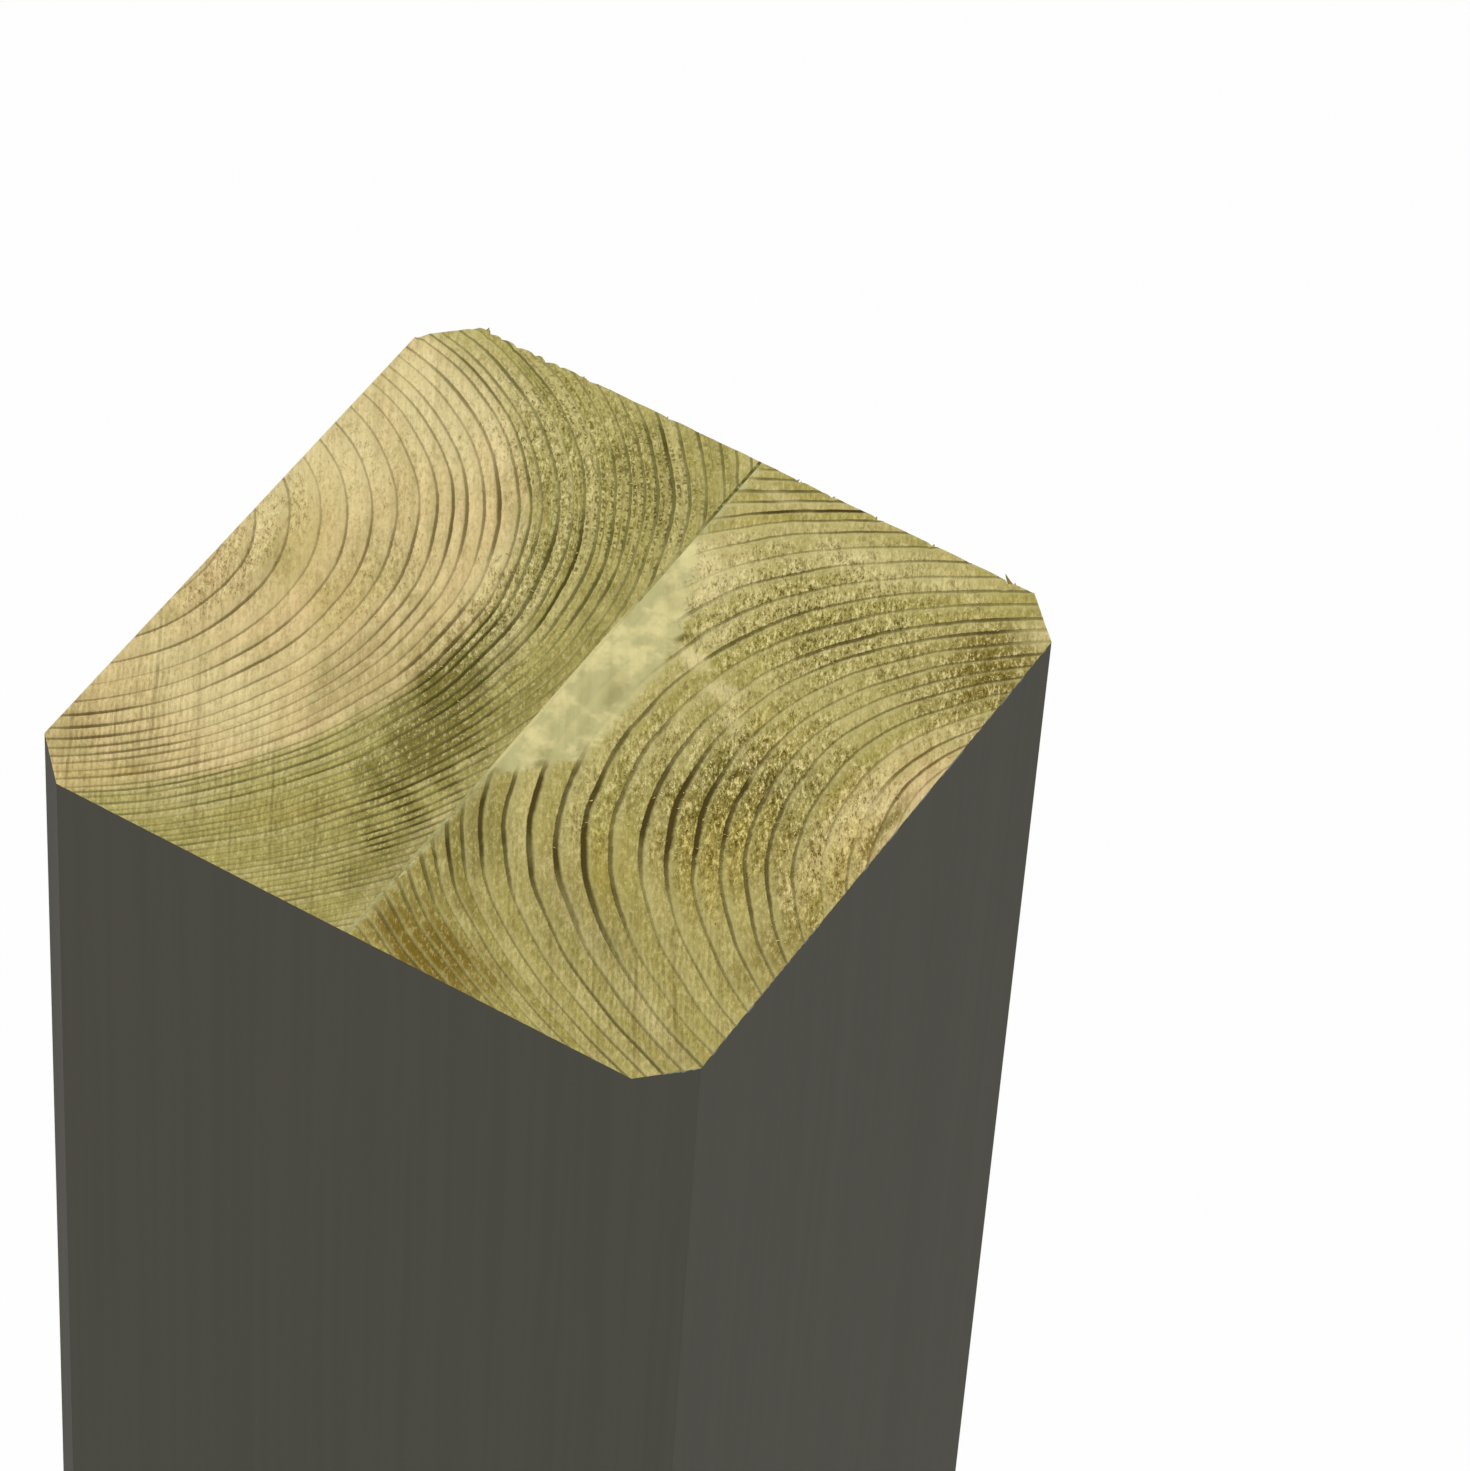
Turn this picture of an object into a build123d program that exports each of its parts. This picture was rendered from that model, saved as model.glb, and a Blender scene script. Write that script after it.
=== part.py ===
from build123d import *
import os
from math import sqrt

# Glulam post for a porch or verandah.
# Two softwood boards are glued face to face and planed square as one blank, and then the four long
# edges are taken off. Both ends are sawn square. The paint on the long faces is a finish and has no
# thickness here.
#
# The post stands upright with its origin at the centre of the foot end, and +Z runs up its length.
# +X crosses the glue line, from the left board to the right one. +Y runs along the glue line,
# across the width of the boards. The planer took a little more off the right board than off the
# left one, so the glue line lies just to the right of the middle.

# Driving dimensions in millimetres
post_length = 2400.0       # from sawn end to sawn end
board_width = 90.0         # along Y
left_board_thickness = 45.8    # along X, what planing left of the left board
right_board_thickness = 43.8   # and of the right board
glue_thickness = 0.4       # cured adhesive between the boards
arris_face = 8.0           # width of the 45 degree flat along each long edge

# Sizes that follow from them
arris_leg = arris_face / sqrt(2)
outer_face = (left_board_thickness + glue_thickness + right_board_thickness) / 2
glue_centre = left_board_thickness + glue_thickness / 2 - outer_face


def make_board(thickness, side):
    """One board, with side -1 for left and 1 for right. Its two outer long edges are flats."""
    with BuildPart() as board:
        with BuildSketch():
            with Locations((side * (outer_face - thickness / 2), 0)):
                section = Rectangle(thickness, board_width)
            outer_corners = section.vertices().group_by(Axis.X)[-1 if side > 0 else 0]
            chamfer(outer_corners, arris_leg)
        extrude(amount=post_length)
    return board.part


def make_glue_line():
    """The adhesive fills the joint over the whole width and length of the boards."""
    with BuildPart() as adhesive:
        with BuildSketch():
            with Locations((glue_centre, 0)):
                Rectangle(glue_thickness, board_width)
        extrude(amount=post_length)
    return adhesive.part


pieces = {
    "left_lamination": make_board(left_board_thickness, -1),
    "right_lamination": make_board(right_board_thickness, 1),
    "glue_line": make_glue_line(),
}

os.makedirs("parts", exist_ok=True)
for name, solid in pieces.items():
    export_step(solid, f"parts/{name}.step")
    print(name, round(solid.volume / 1e6, 4), "million cubic mm")
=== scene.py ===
# %% [markdown]
# # A glulam post
# Two pine boards are glued face to face, planed to one square, painted along their length and sawn off
# at both ends. The photograph looks down on the top end, so most of the work here is in the end grain:
# the growth rings, the fibres that the saw tore, and the marks that it left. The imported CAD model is
# loaded first. It is the frame that every piece is fitted to, and nothing in it is moved.

# %% Load the frame
import math

import bpy
import numpy as np
from mathutils import Matrix, Vector


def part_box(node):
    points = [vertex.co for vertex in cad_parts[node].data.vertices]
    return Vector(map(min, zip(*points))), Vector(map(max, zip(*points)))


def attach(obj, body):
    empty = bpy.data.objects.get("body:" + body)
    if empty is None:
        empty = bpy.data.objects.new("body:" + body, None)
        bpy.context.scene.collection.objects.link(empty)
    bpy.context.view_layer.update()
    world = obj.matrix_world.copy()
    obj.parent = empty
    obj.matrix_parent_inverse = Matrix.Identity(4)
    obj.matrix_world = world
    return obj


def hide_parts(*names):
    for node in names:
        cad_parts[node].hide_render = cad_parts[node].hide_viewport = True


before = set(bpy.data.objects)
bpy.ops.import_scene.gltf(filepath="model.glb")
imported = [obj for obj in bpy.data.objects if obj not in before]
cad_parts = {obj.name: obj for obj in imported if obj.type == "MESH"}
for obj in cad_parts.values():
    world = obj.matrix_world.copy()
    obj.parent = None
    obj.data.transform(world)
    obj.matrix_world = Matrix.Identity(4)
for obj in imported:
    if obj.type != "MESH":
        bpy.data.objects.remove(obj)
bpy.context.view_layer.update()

MM = 0.001

# %% [markdown]
# The sizes of the post are read from the frame and not typed in again. The CAD boards have flats along
# their outer edges, and the leg of a flat is what is missing from the outer face's width.

# %% Read the sizes of the post
_, right_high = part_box("right_lamination")
glue_low, glue_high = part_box("glue_line")
post_length = right_high.z
half_side = right_high.x
joint_left, joint_right = glue_low.x, glue_high.x
board_points = [v.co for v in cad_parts["right_lamination"].data.vertices]
arris_leg = half_side - max(abs(p.y) for p in board_points if p.x > half_side - 0.01 * MM)
print(f"post {post_length:.3f} m long, half side {half_side / MM:.2f} mm, arris leg {arris_leg / MM:.2f} mm")
print(f"the glue runs from x = {joint_left / MM:.2f} to {joint_right / MM:.2f} mm")

# %% [markdown]
# Every tree of nodes below, for shapes and for finishes, is wired with the same few words. Math, noise and
# ramps are the same nodes in both kinds of tree, so one small helper serves both. It keeps the recipes
# short enough to read as recipes.

# %% A helper that wires nodes


class Wiring:
    """Adds nodes to one tree. An input is given a number, a colour, a name or another node's output."""

    def __init__(self, tree):
        self.tree = tree

    def node(self, kind, inputs=None, **settings):
        made = self.tree.nodes.new(kind)
        count = len(self.tree.nodes)
        made.location = (230 * (count % 9), -280 * (count // 9))
        for name, value in settings.items():
            setattr(made, name, value)
        for key, value in (inputs or {}).items():
            self.feed(made, key, value)
        return made

    def feed(self, node, key, value):
        if isinstance(key, int):
            socket = node.inputs[key]
        else:
            socket = next(s for s in node.inputs if s.name == key and s.enabled)
        if isinstance(value, bpy.types.NodeSocket):
            self.tree.links.new(value, socket)
        else:
            socket.default_value = value

    def math(self, operation, *values, clamp=False):
        made = self.node("ShaderNodeMath", operation=operation, use_clamp=clamp)
        for place, value in enumerate(values):
            self.feed(made, place, value)
        return made.outputs[0]

    def times(self, value, other, clamp=False):
        return self.math("MULTIPLY", value, other, clamp=clamp)

    def rest(self, value, clamp=False):
        """1 - value, which is what a mask leaves over."""
        return self.math("SUBTRACT", 1.0, value, clamp=clamp)

    def from_mid_step(self, value):
        """Counts 0 halfway between two whole numbers, and a half on either of them."""
        return self.math("ABSOLUTE", self.math("SUBTRACT", self.math("FRACT", value), 0.5))

    def linear(self, value, slope, start):
        """slope * value + start, in one node."""
        return self.math("MULTIPLY_ADD", value, slope, start)

    def vector(self, operation, *values):
        made = self.node("ShaderNodeVectorMath", operation=operation)
        for place, value in enumerate(values):
            self.feed(made, place, value)
        return made.outputs[0]

    def turned(self, vector, angle):
        """The vector, turned about the length of the post."""
        inputs = {"Vector": vector, "Angle": angle}
        return self.node("ShaderNodeVectorRotate", inputs, rotation_type="Z_AXIS").outputs[0]

    def xyz(self, x, y, z):
        return self.node("ShaderNodeCombineXYZ", {"X": x, "Y": y, "Z": z}).outputs[0]

    def split(self, vector):
        return self.node("ShaderNodeSeparateXYZ", {0: vector}).outputs

    def ramp(self, value, low, high, at_low=0.0, at_high=1.0):
        """Goes smoothly from at_low to at_high while value goes from low to high."""
        made = self.node("ShaderNodeMapRange", interpolation_type="SMOOTHSTEP")
        for key, number in zip(("Value", "From Min", "From Max", "To Min", "To Max"),
                               (value, low, high, at_low, at_high)):
            self.feed(made, key, number)
        return made.outputs[0]

    def noise(self, vector, scale, detail=2.0, roughness=0.5):
        """Noise with about scale hills to each unit. Three numbers as a scale stretch it along the axes."""
        if isinstance(scale, tuple):
            vector, scale = self.vector("MULTIPLY", vector, scale), 1.0
        inputs = {"Vector": vector, "Scale": scale, "Detail": detail, "Roughness": roughness}
        return self.node("ShaderNodeTexNoise", inputs).outputs[0]

    def luck(self, value):
        """One random number between 0 and 1 for each value."""
        return self.node("ShaderNodeTexWhiteNoise", {"W": value}, noise_dimensions="1D").outputs[0]

    def blend(self, share, below, above):
        return self.node("ShaderNodeMix", {0: share, 6: below, 7: above}, data_type="RGBA").outputs[2]

    def between(self, share, low, high):
        return self.node("ShaderNodeMix", {0: share, 2: low, 3: high}, data_type="FLOAT").outputs[0]


def new_tree(name, kind, inputs, outputs):
    """Makes a node group with named sockets, and returns it with its wiring, its inputs and its end node."""
    tree = bpy.data.node_groups.new(name, kind)
    for label, socket_type, value in inputs:
        socket = tree.interface.new_socket(label, in_out="INPUT", socket_type=socket_type)
        if value is not None:
            socket.default_value = value
    for label, socket_type in outputs:
        tree.interface.new_socket(label, in_out="OUTPUT", socket_type=socket_type)
    wire = Wiring(tree)
    return tree, wire, wire.node("NodeGroupInput").outputs, wire.node("NodeGroupOutput")


def finish_tree(wire, end, geometry, material=None):
    """Ends a tree of shapes: its instances become real, and the result takes its material."""
    plain = wire.node("GeometryNodeRealizeInstances", {"Geometry": geometry})
    inputs = {"Geometry": plain.outputs[0]}
    if material is not None:
        inputs["Material"] = material
    wire.feed(end, 0, wire.node("GeometryNodeSetMaterial", inputs).outputs[0])


def run_tree(name, mesh, tree, values):
    """Runs a geometry tree on a mesh, and returns an object that holds the plain result."""
    made = bpy.data.objects.new(name, mesh)
    modifier = made.modifiers.new("shape", "NODES")
    modifier.node_group = tree
    sockets = {item.name: item.identifier for item in tree.interface.items_tree
               if item.item_type == "SOCKET" and item.in_out == "INPUT"}
    for label, value in values.items():
        modifier[sockets[label]] = value
    bpy.context.scene.collection.objects.link(made)
    depsgraph = bpy.context.evaluated_depsgraph_get()
    result = bpy.data.meshes.new_from_object(made.evaluated_get(depsgraph), preserve_all_data_layers=True,
                                             depsgraph=depsgraph)
    made.modifiers.remove(modifier)
    made.data = result
    result.name = name
    return made


def srgb(red, green, blue):
    """A colour as a paint card gives it, from 0 to 255, in the linear values that Blender works with."""
    linear = [((c / 255 + 0.055) / 1.055) ** 2.4 if c > 10 else c / 255 / 12.92 for c in (red, green, blue)]
    return (*linear, 1.0)


print("wiring helper ready")

# %% [markdown]
# A board is a rule: a rectangle of end grain whose two outer corners are cut by the flats, drawn down the
# length of the post, and closed by the same shape at the foot. Geometry Nodes suit that, because the rule
# stays visible as named sizes. The end is a fine grid, about 0.32 mm from point to point, so that it can
# carry growth rings and torn fibres later. One column of the grid lands exactly on the start of the flat.
# The same tree with no flat makes the glue between the boards.

# %% The tree that planes a board
SLOW_LOOPS = (0.12, 0.3, 0.6, 1.0, 2.0)   # mm between the loops under the sawn top, where edges chip
LONG_LOOPS = 6                            # even lengths between the last of those and the foot

FLOAT, WHOLE, SHAPE = "NodeSocketFloat", "NodeSocketInt", "NodeSocketGeometry"
plane_tree, wire, given, end = new_tree(
    "planed board", "GeometryNodeTree",
    [("Inner X", FLOAT, joint_right), ("Outer X", FLOAT, half_side), ("Half Width", FLOAT, half_side),
     ("Length", FLOAT, post_length), ("Arris Leg", FLOAT, arris_leg), ("Side", FLOAT, 1.0),
     ("Columns", WHOLE, 140), ("Flat Columns", WHOLE, 18), ("Rows", WHOLE, 280)],
    [("Geometry", SHAPE)])
grid = wire.node("GeometryNodeMeshGrid", {"Size X": 1.0, "Size Y": 2.0})
for axis, count in (("Vertices X", "Columns"), ("Vertices Y", "Rows")):
    wire.feed(grid, axis, wire.math("ADD", given[count], 1.0))
place = wire.split(wire.node("GeometryNodeInputPosition").outputs[0])
across = wire.math("ADD", place[0], 0.5)
flat_start = wire.rest(wire.math("DIVIDE", given["Flat Columns"], given["Columns"]))
full_x = wire.math("SUBTRACT", given["Outer X"], given["Arris Leg"])
before_flat = wire.math("DIVIDE", across, flat_start, clamp=True)
beyond = wire.math("SUBTRACT", across, flat_start)
in_flat = wire.math("DIVIDE", beyond, wire.rest(flat_start), clamp=True)
cut = wire.times(in_flat, given["Arris Leg"])
x = wire.math("ADD", wire.between(before_flat, given["Inner X"], full_x), cut)
y = wire.times(place[1], wire.math("SUBTRACT", given["Half Width"], cut))
top_place = wire.xyz(wire.times(x, given["Side"]), y, given["Length"])
top = wire.node("GeometryNodeSetPosition", {"Geometry": grid.outputs["Mesh"], "Position": top_place})
mirrored = wire.math("LESS_THAN", given["Side"], 0.0)
top = wire.node("GeometryNodeFlipFaces", {"Mesh": top.outputs[0], "Selection": mirrored})

rim = wire.node("FunctionNodeCompare", {"B": 1}, data_type="INT", operation="EQUAL")
wire.feed(rim, "A", wire.node("GeometryNodeInputMeshEdgeNeighbors").outputs[0])
body, edge_loop = top.outputs[0], rim.outputs[0]
long_step = wire.math("DIVIDE", wire.math("SUBTRACT", given["Length"], sum(SLOW_LOOPS) * MM), LONG_LOOPS)
straight_down = wire.xyz(0.0, 0.0, -1.0)    # left open, this input would follow the normals
for step in [depth * MM for depth in SLOW_LOOPS] + [long_step] * LONG_LOOPS:
    drawn = wire.node("GeometryNodeExtrudeMesh", {"Mesh": body, "Selection": edge_loop,
                                                  "Offset": straight_down}, mode="EDGES")
    wire.feed(drawn, "Offset Scale", step)
    body, edge_loop = drawn.outputs["Mesh"], drawn.outputs["Top"]

down = wire.xyz(0.0, 0.0, wire.times(given["Length"], -1.0))
foot = wire.node("GeometryNodeTransform", {"Geometry": top.outputs[0], "Translation": down})
foot = wire.node("GeometryNodeFlipFaces", {"Mesh": foot.outputs[0]})
joined = wire.node("GeometryNodeJoinGeometry", {0: foot.outputs[0]})
wire.feed(joined, 0, body)
closed = wire.node("GeometryNodeMergeByDistance", {"Geometry": joined.outputs[0], "Distance": 0.01 * MM})
facing = wire.split(wire.node("GeometryNodeInputNormal").outputs[0])[2]
bare = wire.math("GREATER_THAN", wire.math("ABSOLUTE", facing), 0.5)
marked = wire.node("GeometryNodeStoreNamedAttribute", {"Geometry": closed.outputs[0], "Name": "bare",
                                                       "Value": bare}, data_type="FLOAT", domain="FACE")
finish_tree(wire, end, marked.outputs[0])

LEFT, RIGHT = -1.0, 1.0
left_board = run_tree("left_board", bpy.data.meshes.new("left blank"), plane_tree,
                      {"Side": LEFT, "Inner X": -joint_left})
right_board = run_tree("right_board", bpy.data.meshes.new("right blank"), plane_tree,
                       {"Side": RIGHT, "Inner X": joint_right})
glue = run_tree("cured_glue", bpy.data.meshes.new("glue blank"), plane_tree,
                {"Inner X": joint_left, "Outer X": joint_right, "Arris Leg": 0.0, "Columns": 3,
                 "Flat Columns": 0, "Side": RIGHT})
for piece in (left_board, right_board, glue):
    print(piece.name, len(piece.data.vertices), "points,", len(piece.data.polygons), "faces")

# %% [markdown]
# Each board keeps its own growth rings. A ring is where one number, the level, has one value: on the left
# board it is nearly the distance from a pith just outside the board, and on the right board the rings are
# one lopsided curve moved along the board's thickness. The few numbers of each curve were fitted to points
# picked along the rings of the photograph. The levels of the dark lines were read in millimetres, with how
# bold each line looks beside them. From the level and those lines comes the growth, which goes up
# by one from each dark line to the next. It is kept on the points of the mesh, so the finish can draw a
# line wherever it passes a whole number.

# %% The shape of the rings
ripple_maker = np.random.default_rng(45)
ripple_waves = [(ripple_maker.uniform(0, 2 * math.pi), ripple_maker.uniform(0.6, 1.7),
                 ripple_maker.uniform(0, 2 * math.pi)) for _ in range(24)]


def ripple(x, y, length, first=0):
    """A smooth wander between about -1 and 1, whose hills are about length millimetres across."""
    total = 0.0
    for turn, pace, start in ripple_waves[first:first + 6]:
        along = x * math.cos(turn) + y * math.sin(turn)
        total = total + np.sin(along * pace * 2 * math.pi / length + start)
    return total / 3.0


def smooth(value, low, high):
    share = np.clip((value - low) / (high - low), 0.0, 1.0)
    return share * share * (3 - 2 * share)


LEFT_PITH = (-61.14, -10.48)    # mm, outside the left board
LEFT_MIDDLE = 40.0              # mm from the pith, where the left rings' shape was measured
LEFT_OVAL = (-0.049, 0.001, -0.075)     # how a ring there departs from a circle, with one wave and two
LEFT_DRIFT = (-0.140, -0.052)   # how the first two of those change further out
RIGHT_MIDDLE, BEND_REACH = 20.0, 40.0   # mm, the measures in which the right rings' shape was fitted
RIGHT_AXIS = (3.1, 6.14)        # y of their axis at x = RIGHT_MIDDLE, and its change over as many mm
# How far a right ring bends back at BEND_REACH above its axis, and below it: the squared part and its change
# over RIGHT_MIDDLE mm of x, then the cubed part and its change
RIGHT_UPPER = (22.73, 27.3, -2.97, -14.04)
RIGHT_LOWER = (18.06, 3.12, 2.13, -1.88)


def left_level(x, y):
    dx, dy = x - LEFT_PITH[0], y - LEFT_PITH[1]
    reach, turn = np.hypot(dx, dy), np.arctan2(dy, dx)
    single, even, odd = np.sin(turn), np.cos(2 * turn), np.sin(2 * turn)
    oval = 1 + LEFT_OVAL[0] * single + LEFT_OVAL[1] * even + LEFT_OVAL[2] * odd
    drift = (LEFT_DRIFT[0] * single + LEFT_DRIFT[1] * even) * (reach - LEFT_MIDDLE) / LEFT_MIDDLE
    return reach * (oval + drift) + 0.10 * ripple(x, y, 17.0) + 0.015 * ripple(x, y, 3.4, 6)


def right_level(x, y):
    along = (x - RIGHT_MIDDLE) / RIGHT_MIDDLE
    offset = y - (RIGHT_AXIS[0] + RIGHT_AXIS[1] * along)
    bend = np.abs(offset) / BEND_REACH
    a, b, c, d = (np.where(offset > 0, up, low) for up, low in zip(RIGHT_UPPER, RIGHT_LOWER))
    level = x - (a + b * along) * bend ** 2 - (c + d * along) * bend ** 3
    return level + 0.12 * ripple(x, y, 14.0, 12) + 0.02 * ripple(x, y, 3.4, 6)


# Level of each dark line in mm, and how bold it is. On the left board levels rise away from the pith, and
# on the right board they fall, so there the list runs down.
LEFT_LINES = ((13.6, .4), (17.2, .4), (20.6, .5), (24.2, .6), (27.3, .55), (30.0, .5), (32.5, .55),
              (34.9, .6), (37.0, .5), (38.7, .5), (40.2, .45), (41.5, .6), (43.1, .6), (44.5, .75),
              (46.2, .6), (47.2, .45), (48.1, .6), (49.6, .85), (50.8, .5), (51.8, .6), (53.1, .75),
              (54.4, .55), (55.6, .5), (56.7, .6), (57.7, .85), (58.9, .6), (60.1, .65), (61.4, .6),
              (62.8, .6))
LEFT_EVEN_STEP = 1.02           # mm between the lines from there on, by the glue line
RIGHT_LINES = ((46.0, .4), (44.2, .4), (42.4, .5), (40.3, .5), (37.5, .6), (34.4, .6), (31.4, .6),
               (29.0, .75), (26.3, .7), (23.2, .75), (20.2, .75), (17.4, .9), (14.0, 1.), (11.0, .8),
               (8.0, .9), (4.9, .7), (2.2, .65), (-0.5, .6), (-2.5, .6), (-4.2, .6), (-5.8, .6),
               (-7.4, .9), (-9.3, .6), (-10.8, .6), (-13.0, .6), (-15.0, .6))
RIGHT_EVEN_STEP = -1.9


def continued(lines, step, count=30):
    last, bold = lines[-1]
    return list(lines) + [(last + step * k, 0.6) for k in range(1, count)]


left_lines = continued(LEFT_LINES, LEFT_EVEN_STEP)
right_lines = continued(RIGHT_LINES, RIGHT_EVEN_STEP)
print(len(LEFT_LINES), "lines read on the left board,", len(RIGHT_LINES), "on the right")

# %% [markdown]
# Colour changes over the end in soft zones: pinkish heartwood near the left board's pith, greenish treated
# sapwood outside it, a smooth pale patch by the glue line, brown stains near the edges. Each zone is a few
# named soft spots. They are stored as masks on the points, and the material decides what colour they are.


# %% Zones of colour and of torn fibres
SPOT_REACH, SPOT_FADE = 1.75, 1.45  # radii from the middle to where a spot ends, and over which it fades


def spots(x, y, places):
    """The strongest of some soft ovals at each point. A place is x, y, two radii in mm, turn, strength."""
    wander = 0.22 * ripple(x, y, 7.0, 3) + 0.12 * ripple(x, y, 2.2, 15)
    mask = np.zeros_like(x)
    for at_x, at_y, radius_x, radius_y, turn, strength in places:
        c, s = math.cos(math.radians(turn)), math.sin(math.radians(turn))
        u = ((x - at_x) * c + (y - at_y) * s) / radius_x
        v = ((y - at_y) * c - (x - at_x) * s) / radius_y
        mask = np.maximum(mask, strength * smooth(SPOT_REACH - np.hypot(u, v) + wander, 0.0, SPOT_FADE))
    return mask


LEFT_ZONES = {
    "pale": [(-42, 14, 6, 13, 0, .75), (-35, 31, 10, 7, -35, 1.0), (-31, -23, 8, 5, -35, .6),
             (-36, -24, 9, 3, -35, .5), (-15.5, 8, 1.7, 9, 5, 1.0), (-9, 4, 2.0, 8, 15, .4),
             (-26, -39, 5, 2.5, 40, .3), (-0.2, -30, .9, 14, 0, .35)],
    "shade": [(-9, -12, 5, 14, 12, .75), (-16.5, 25, 2.0, 9, 24, .1), (-5, 36, 4, 6, 0, .15),
              (-1, -4, 2.0, 18, 0, .4), (-13, -36, 9, 5, 40, .12), (-22, -12, 3, 7, 10, .3),
              (-29, 3, 5, 7, 0, .1), (-38, -3, 2, 6, 0, .12), (-1, -32, 3, 9, 0, .4),
              (-16, -13, 2.4, 6, 15, .25)],
    "brown": [(-3, -35, 2, 6, 0, .2), (-43, -38, 3, 4, 0, .2)],
    "torn": [(-16, 33, 12, 8, -15, .85), (-12, 12, 3.5, 15, 0, .85), (-36, 18, 6, 8, 0, .15),
             (-42, -2, 3, 11, 0, .6), (-27, 3, 4, 8, 0, .3), (-8, -10, 6, 18, 0, .3)],
    "marks": [(-38, -33, 7, 12, 0, .7), (-22, -36, 14, 9, 0, .6), (-8, -38, 9, 8, 0, .4),
              (-42, -12, 4, 10, 0, .5)],
    "ink": [(-8, -10, 5, 18, 10, 1.0), (-7, 34, 7, 10, 15, .85), (-38, -36, 8, 5, 25, .5),
            (-32, 33, 8, 6, -35, .3), (-16, -26, 6, 9, 30, .25), (-8, 15, 6, 10, 0, .6),
            (-36, -8, 6, 14, 0, .3), (-23, 12, 5, 18, 0, .4)],
    "pits": [(-8, 31, 8, 13, 15, .85), (-11, 18, 4, 12, 10, .5), (-24, 40, 9, 4, -20, .7),
             (-6, 0, 5, 16, 0, .35)],
    "golden": [(-38, 4, 3, 9, 15, .35), (-28, -2, 3, 6, 0, .3), (-15, 6, 2, 9, 0, .2),
               (-14, -33, 8, 1.5, 40, .3), (-36, -41, 5, 2, 40, .3)],
}
RIGHT_ZONES = {
    "pale": [(4.5, 26, 5.5, 5.5, 20, .75), (40.2, 2, 1.5, 10, 6, .8), (43, 39, 3, 2, 40, .6),
             (11.5, 13, 2.2, 1.2, -20, .8), (17, 10.6, 2.2, 1.4, -10, .8),
             (21, 6.8, 2.4, .9, -40, .8), (25.5, 2.8, 3.5, .8, -38, .7), (15, 2, 2, 7, 0, .2),
             (20, 38, 12, 3, 15, .4), (20, -28, 11, 1.2, -32, .3), (33, -33, 12, 1.6, -35, .3),
             (11.5, 17.6, 1.6, 1.8, 0, .4), (6.4, 41.5, 3.5, 1.2, 0, .45)],
    "shade": [(28, -4, 7, 11, 10, .76), (16, 0, 5, 10, 0, .12), (4, -25, 4.5, 9, 20, .5),
              (41, 30, 4, 6, 0, .35), (22, -28, 10, 6, -30, .27), (42, -18, 4, 7, 0, .2),
              (28, 22, 9, 5, 35, .1), (43.6, 3, .7, 5, 0, .8), (38.0, -7, .45, 6, 8, .6),
              (42.6, -6, .45, 4, 6, .6),
              (8.5, 15.2, .5, 1.2, -25, .9), (5.2, -11.0, .5, .8, -30, .6), (1.4, -14.8, .7, .5, 0, .7),
              (4.9, 19.5, 1.3, 1.3, -30, .22), (6.3, 3.4, 1.2, 2.8, 12, .34), (4.8, -9.4, 1.4, .9, 0, .24),
              (8, -34, 3.2, 2.4, 0, .3), (35.4, 5.5, 1.1, 3.5, -20, .35), (24.6, -17.4, 2.6, 1.3, -30, .35),
              (16.7, -9, 1.5, 2, 0, .3), (30, -20.3, 2, 1.2, -30, .25), (2.6, -36, 1.2, 2.4, 0, .25)],
    "brown": [(41, 31, 5, 7, 0, .72), (10, -42, 10, 4.5, -10, 1.0), (9, -33.5, 7, 1.8, -8, .35),
              (43, -19, 2.5, 8, 0, .46), (38, -40, 8, 3, 20, .2)],
    "torn": [(28, -1, 9, 13, 10, 1.0), (20, 27, 14, 10, 25, .9), (40, 28, 5, 9, 0, .8),
             (15, -5, 4, 12, 0, .5), (40.5, -2, 4, 12, 10, 1.0)],
    "marks": [(33, -33, 12, 11, 0, .7), (15, -33, 10, 9, 0, .4), (22, 30, 12, 8, 0, .5)],
    "ink": [(20, -8, 12, 11, 0, 1.0), (14, -20, 12, 7, -30, .85), (10.5, 20, 3.5, 6, -30, .35),
            (24, 26, 18, 3, 38, .55), (35, -8, 5, 10, 0, .7), (40, 2, 3, 11, 0, .65), (4, -22, 4, 10, 0, .8),
            (3, -36, 2.5, 9, 0, .85), (8, 42, 8, 3, 20, .8), (40, 40, 6, 5, 30, .6)],
    "pits": [],
    "golden": [(30, -10, 6, 9, 15, .5), (26, 8, 5, 5, 0, .25), (42, -4, 2.5, 8, 10, .5),
               (20, -20, 3, 6, 30, .3), (39, 9, 2, 9, -20, .3)],
}
# The right board's smooth patch: how far it reaches from the glue line, in mm, at some heights
PATCH_Y = (-15.5, -14.4, -10.6, -7.8, 3.0, 14.2, 21.0, 27.0, 30.0)
PATCH_X = (1.0, 2.6, 5.8, 8.4, 8.8, 8.4, 5.4, 3.0, 1.2)
LEFT_HEART_END = (45.2, 47.6)   # levels in mm between which the left board's heartwood fades
RIGHT_HEART = [(42.5, 6, 4.5, 14, -8, 1.0)]     # the right board's heartwood is one soft spot
LEAN = (1.8, -2.6)              # mm by which the rings have moved at the foot, because the tree leaned


def put(mesh, name, values):
    layer = mesh.attributes.get(name) or mesh.attributes.new(name, "FLOAT", "POINT")
    layer.data.foreach_set("value", np.asarray(values, np.float32))


def points_of(mesh):
    flat = np.empty(3 * len(mesh.vertices))
    mesh.vertices.foreach_get("co", flat)
    return flat.reshape(-1, 3)


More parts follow.
